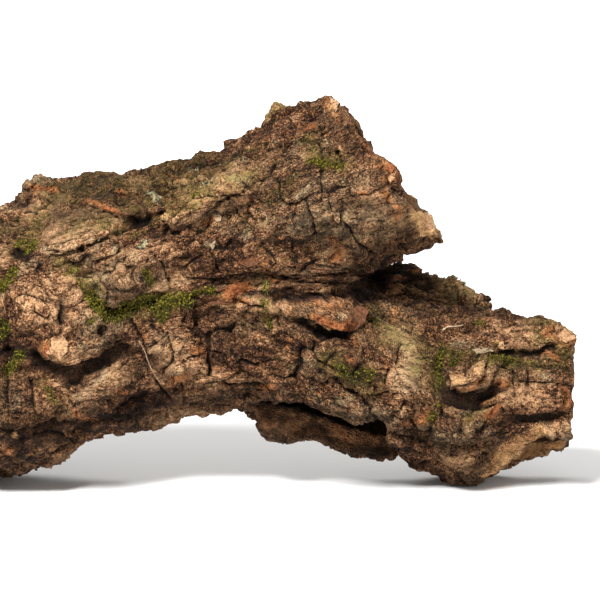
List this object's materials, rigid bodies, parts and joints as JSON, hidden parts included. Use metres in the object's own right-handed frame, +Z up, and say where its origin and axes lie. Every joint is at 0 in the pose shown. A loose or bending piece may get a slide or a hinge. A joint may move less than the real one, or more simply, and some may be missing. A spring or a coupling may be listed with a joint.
{
  "type": "cork bark tube",
  "caption": "Hollow forked tube of natural cork bark with rough furrowed sides, broken open ends and a split along its underside.",
  "frame": {"origin": "on the ground, under the middle of the tube's bounding box", "axes": "+X along the tube from its thick end to the two forks, +Z up, the front towards -Y"},
  "size_m": [0.3816, 0.1272, 0.2175],
  "materials": {
    "cork_bark": "dry, rough raw bark"
  },
  "bodies": {
    "root": {"cork_bark_tube": "cork_bark"}
  },
  "joints": []
}
